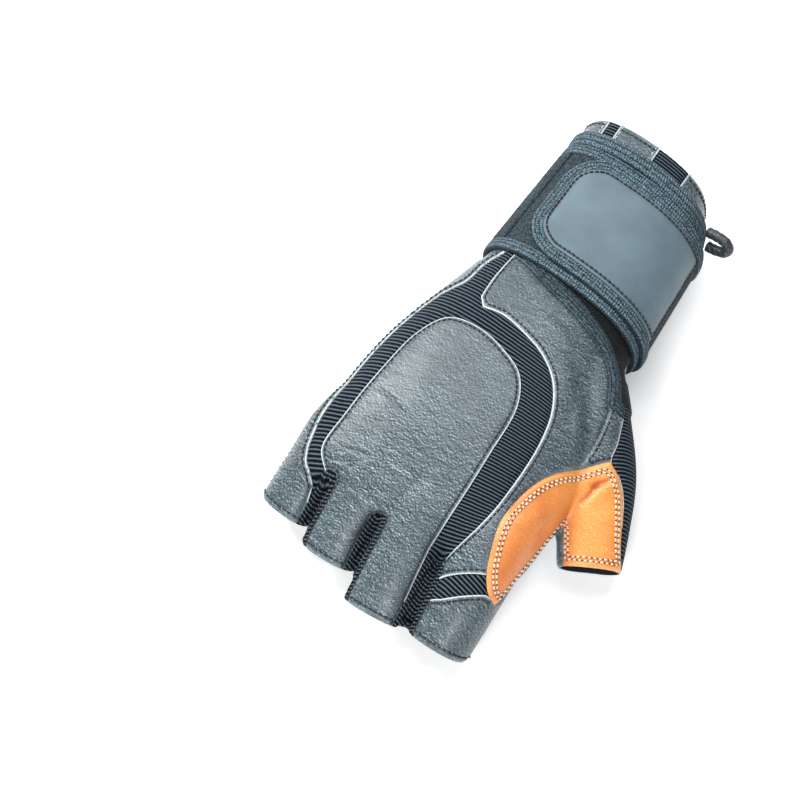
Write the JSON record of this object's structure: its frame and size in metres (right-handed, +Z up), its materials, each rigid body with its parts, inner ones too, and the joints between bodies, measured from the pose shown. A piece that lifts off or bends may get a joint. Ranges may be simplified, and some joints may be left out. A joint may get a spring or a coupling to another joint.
{
  "type": "weightlifting glove",
  "caption": "Fingerless leather glove for the right hand, with grip pads on the palm, a ribbed band over the back, a bare label patch and a wide wrist wrap.",
  "frame": {"origin": "middle of the bounding box, on the surface that the palm lies on", "axes": "+Y to the finger ends, -X to the thumb, +Z up through the back of the hand"},
  "size_m": [0.1294, 0.219, 0.0532],
  "materials": {
    "black_leather": "grained, satin",
    "orange_leather": "smooth, satin",
    "rib_knit": "ribbed, matt",
    "grip_cloth": "granular, matt",
    "knit_binding": "knitted, matt",
    "label_cloth": "smooth, matt",
    "webbing": "woven, matt"
  },
  "bodies": {
    "root": {"knuckle_panel": "black_leather", "pinky_side_panel": "black_leather", "index_tip_panel": "black_leather", "thumb_base_strip": "black_leather", "finger_palm_leather": "black_leather", "thumb_palm_leather": "black_leather", "thumb_side_panel": "black_leather", "cuff_sleeve": "black_leather", "pull_loop": "black_leather", "palm_leather": "orange_leather", "fourchette_index": "rib_knit", "fourchette_middle": "rib_knit", "fourchette_pinky": "rib_knit", "ribbed_band": "rib_knit", "thumb_outer_mesh": "rib_knit", "index_rib_insert": "rib_knit", "cuff_insert_narrow": "rib_knit", "cuff_insert_wide": "rib_knit", "pad_thumb_base": "grip_cloth", "pad_long": "grip_cloth", "pad_middle": "grip_cloth", "pad_finger_base": "grip_cloth", "pad_index_inner": "grip_cloth", "pad_index_outer": "grip_cloth", "pad_middle_inner": "grip_cloth", "pad_middle_outer": "grip_cloth", "pad_ring_inner": "grip_cloth", "pad_ring_outer": "grip_cloth", "pad_pinky_inner": "grip_cloth", "wrist_knit_gusset": "knit_binding", "wrap_strap": "knit_binding", "strap_binding": "knit_binding", "loop_field": "knit_binding", "cuff_knit_band": "knit_binding", "label_patch": "label_cloth", "pull_off_ribbon_index": "webbing", "pull_off_ribbon_pinky": "webbing"}
  },
  "joints": []
}
